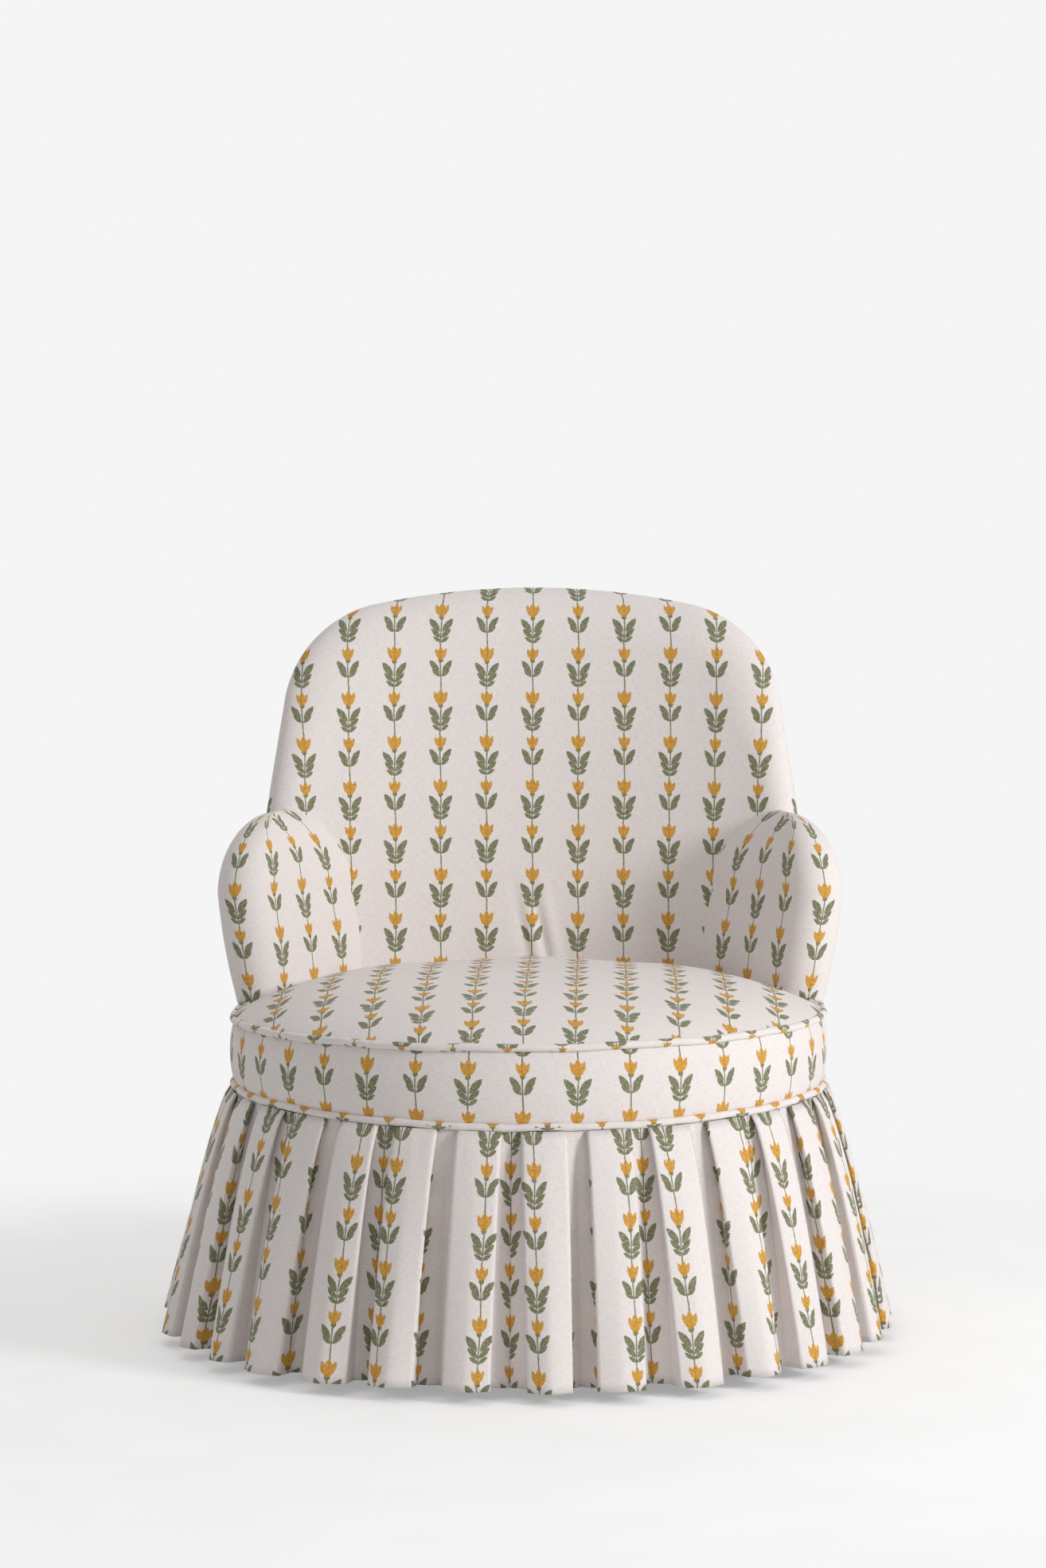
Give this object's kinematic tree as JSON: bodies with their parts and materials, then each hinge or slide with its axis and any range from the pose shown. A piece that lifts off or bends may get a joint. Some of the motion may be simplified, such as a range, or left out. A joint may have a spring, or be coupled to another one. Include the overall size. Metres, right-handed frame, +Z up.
{
  "type": "skirted accent chair",
  "caption": "Upholstered accent chair with a round fronted crowned seat, padded reclining back, low winged arms, piped border and a box pleated skirt to the floor.",
  "frame": {"origin": "on the floor under the middle of the seat, the centre of the round front", "axes": "+Z up, the seat's front faces -Y, +X to the right seen from the front"},
  "size_m": [0.853, 0.8521, 0.862],
  "materials": {
    "printed_cloth": "woven, printed",
    "hardwood": "sanded",
    "stained_legs": "satin stain",
    "plywood": "sanded",
    "hardboard": "smooth",
    "zinc_steel": "zinc plated",
    "nylon": "matte",
    "foam": "open cell",
    "wadding": "fluffy",
    "felt": "felted",
    "webbing": "woven",
    "dust_cloth": "non-woven",
    "piping_cord": "twisted",
    "card": "pressed"
  },
  "bodies": {
    "root": {"leg_front_left": "stained_legs", "leg_front_right": "stained_legs", "leg_rear_left": "stained_legs", "leg_rear_right": "stained_legs", "foot_glides": "nylon", "leg_plates": "zinc_steel", "hanger_bolts": "zinc_steel", "leg_plate_screws": "zinc_steel", "lower_seat_ring": "plywood", "upper_seat_ring": "plywood", "ring_spacer_blocks": "hardwood", "dust_cover": "dust_cloth", "webbing_lengthwise": "webbing", "webbing_crosswise": "webbing", "post_screws": "zinc_steel", "seat_insulator": "felt", "seat_foam": "foam", "seat_wadding": "wadding", "seat_cover": "printed_cloth", "seat_border": "printed_cloth", "border_wadding": "wadding", "upper_welt": "printed_cloth", "upper_welt_cord": "piping_cord", "lower_welt": "printed_cloth", "lower_welt_cord": "piping_cord", "skirt": "printed_cloth", "skirt_tack_strip": "card", "back_post_left": "hardwood", "back_post_right": "hardwood", "crest_rail": "hardwood", "lower_back_rail": "hardwood", "frame_dowels": "hardwood", "back_webbing": "webbing", "back_foam": "foam", "outside_back_wadding": "wadding", "outside_back_board": "hardboard", "inside_back_cover": "printed_cloth", "outside_back_cover": "printed_cloth", "arm_post_left": "hardwood", "arm_post_right": "hardwood", "arm_rail_left": "hardwood", "arm_rail_right": "hardwood", "arm_foam_left": "foam", "arm_foam_right": "foam", "arm_cover_left": "printed_cloth", "arm_cover_right": "printed_cloth", "outside_arm_cover_left": "printed_cloth", "outside_arm_cover_right": "printed_cloth"}
  },
  "joints": []
}
